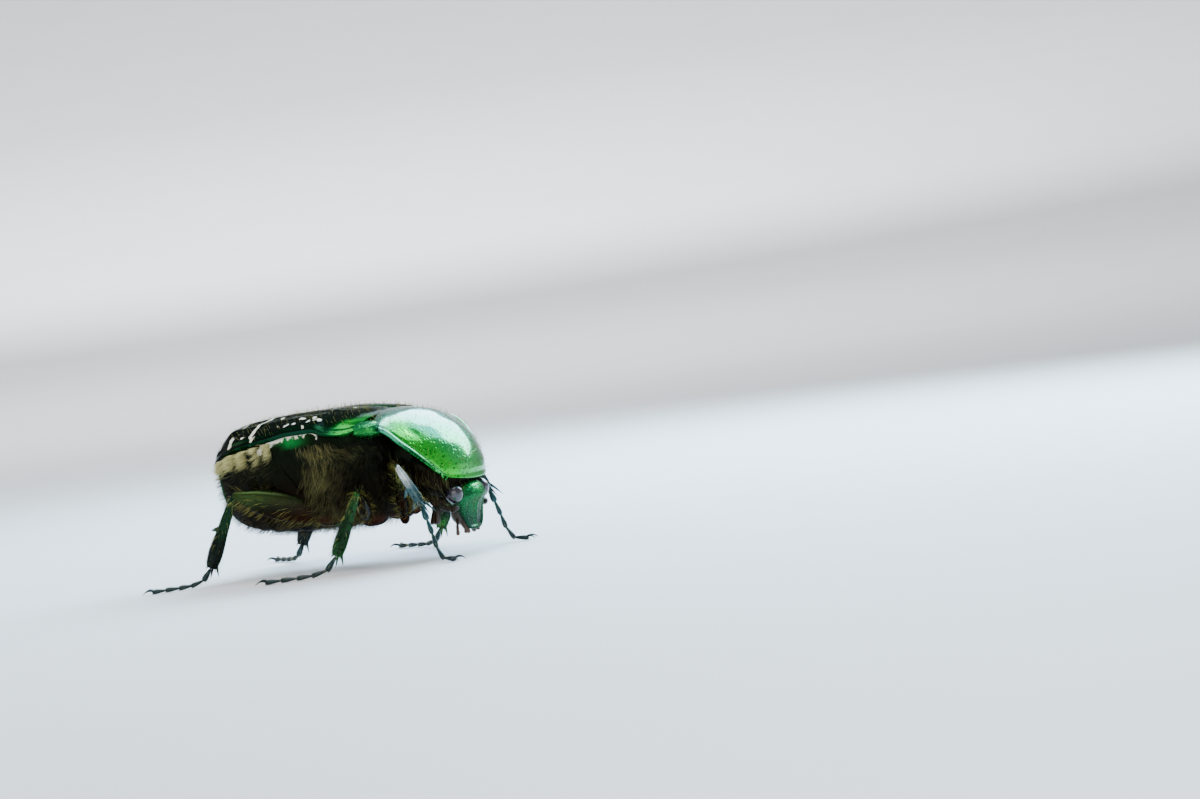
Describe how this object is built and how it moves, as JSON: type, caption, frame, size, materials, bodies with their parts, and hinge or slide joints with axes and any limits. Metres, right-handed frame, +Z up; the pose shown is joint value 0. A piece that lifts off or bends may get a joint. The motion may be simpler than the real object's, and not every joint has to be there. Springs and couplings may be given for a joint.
{
  "type": "green rose chafer beetle",
  "caption": "Life-size still model of a metallic green rose chafer standing on its six feet, with domed pronotum, pale-marked wing cases and a hairy underside.",
  "frame": {"origin": "on the floor under the middle of the box round the body and the six feet", "axes": "+X forward to the head, +Y to the beetle's left, +Z up from the floor"},
  "size_m": [0.0198, 0.0168, 0.0091],
  "materials": {
    "green_cuticle": "metallic green with punctures, glossy",
    "wing_case": "dark metallic green with small pale marks",
    "dark_cuticle": "near black with a green sheen",
    "leg_cuticle": "dark green, punctured and glossy",
    "hairy_underside": "dark coppery cuticle under olive brown hair",
    "eye": "grey violet, very glossy"
  },
  "bodies": {
    "root": {"head": "green_cuticle", "eye_left": "eye", "eye_right": "eye", "antenna_left": "dark_cuticle", "antenna_right": "dark_cuticle", "mouthparts": "hairy_underside", "pronotum": "green_cuticle", "prothorax": "hairy_underside", "scutellum": "green_cuticle", "mesepimeron_left": "green_cuticle", "mesepimeron_right": "green_cuticle", "elytron_left": "wing_case", "elytron_right": "wing_case", "pterothorax": "hairy_underside", "abdomen": "hairy_underside", "pygidium": "green_cuticle", "coxa_fore_left": "dark_cuticle", "coxa_fore_right": "dark_cuticle", "femur_fore_left": "leg_cuticle", "femur_fore_right": "leg_cuticle", "femur_middle_left": "leg_cuticle", "femur_middle_right": "leg_cuticle", "femur_hind_left": "leg_cuticle", "femur_hind_right": "leg_cuticle", "tibia_fore_left": "leg_cuticle", "tibia_fore_right": "leg_cuticle", "tibia_middle_left": "leg_cuticle", "tibia_middle_right": "leg_cuticle", "tibia_hind_left": "leg_cuticle", "tibia_hind_right": "leg_cuticle", "tarsus_fore_left": "dark_cuticle", "tarsus_fore_right": "dark_cuticle", "tarsus_middle_left": "dark_cuticle", "tarsus_middle_right": "dark_cuticle", "tarsus_hind_left": "dark_cuticle", "tarsus_hind_right": "dark_cuticle"}
  },
  "joints": []
}
